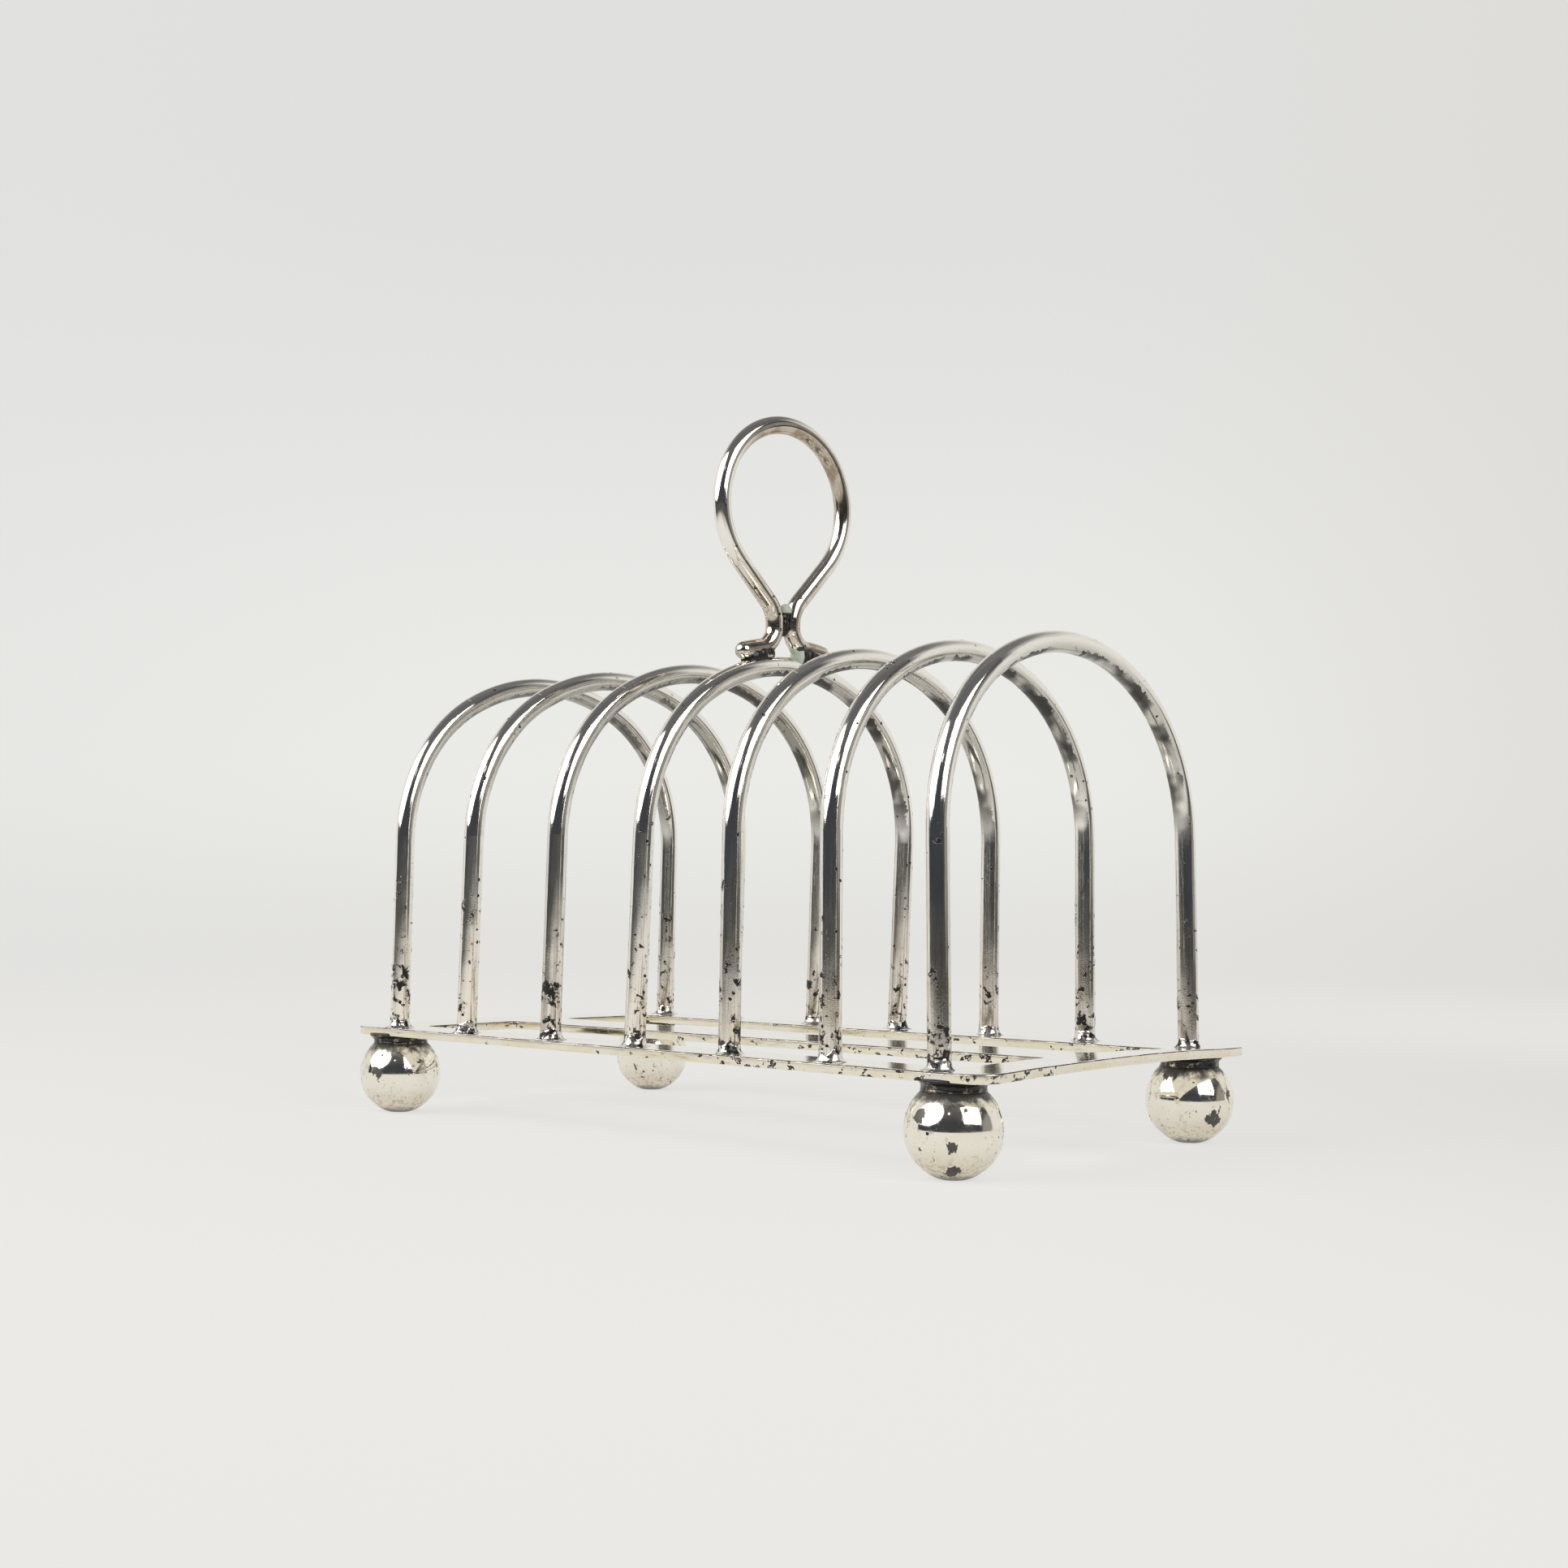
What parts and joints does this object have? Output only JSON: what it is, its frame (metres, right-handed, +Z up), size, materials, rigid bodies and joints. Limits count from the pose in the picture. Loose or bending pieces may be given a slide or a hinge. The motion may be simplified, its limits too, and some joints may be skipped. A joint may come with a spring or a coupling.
{
  "type": "toast rack",
  "caption": "Silver-plated toast rack: a row of arched wire hoops and a ring handle soldered to a pierced plate on ball feet.",
  "frame": {"origin": "under the middle of the plate, on the surface that the ball feet stand on", "axes": "+X along the row of hoops towards the right-hand end, -Y towards the front, +Z up"},
  "size_m": [0.153, 0.0834, 0.1304],
  "materials": {
    "plate_silver": "worn silver plate, tarnished at the edges",
    "hoop_silver": "worn silver plate with fine draw lines and black tarnish spots",
    "handle_silver": "worn silver plate with brown tarnish inside the ring",
    "ball_silver": "polished silver plate, slightly scratched",
    "leg_solder": "dull solder, blackened",
    "foot_solder": "dull solder, blackened",
    "handle_solder": "dull solder with pale green verdigris"
  },
  "bodies": {
    "root": {"base_plate": "plate_silver", "hoop_1": "hoop_silver", "hoop_2": "hoop_silver", "hoop_3": "hoop_silver", "hoop_4": "hoop_silver", "hoop_5": "hoop_silver", "hoop_6": "hoop_silver", "hoop_7": "hoop_silver", "hoop_solder_1": "leg_solder", "hoop_solder_2": "leg_solder", "hoop_solder_3": "leg_solder", "hoop_solder_4": "leg_solder", "hoop_solder_5": "leg_solder", "hoop_solder_6": "leg_solder", "hoop_solder_7": "leg_solder", "ring_handle": "handle_silver", "handle_neck_solder": "handle_solder", "handle_front_solder": "handle_solder", "handle_back_solder": "handle_solder", "foot_front_left": "ball_silver", "foot_front_right": "ball_silver", "foot_back_left": "ball_silver", "foot_back_right": "ball_silver", "foot_solder_front_left": "foot_solder", "foot_solder_front_right": "foot_solder", "foot_solder_back_left": "foot_solder", "foot_solder_back_right": "foot_solder"}
  },
  "joints": []
}
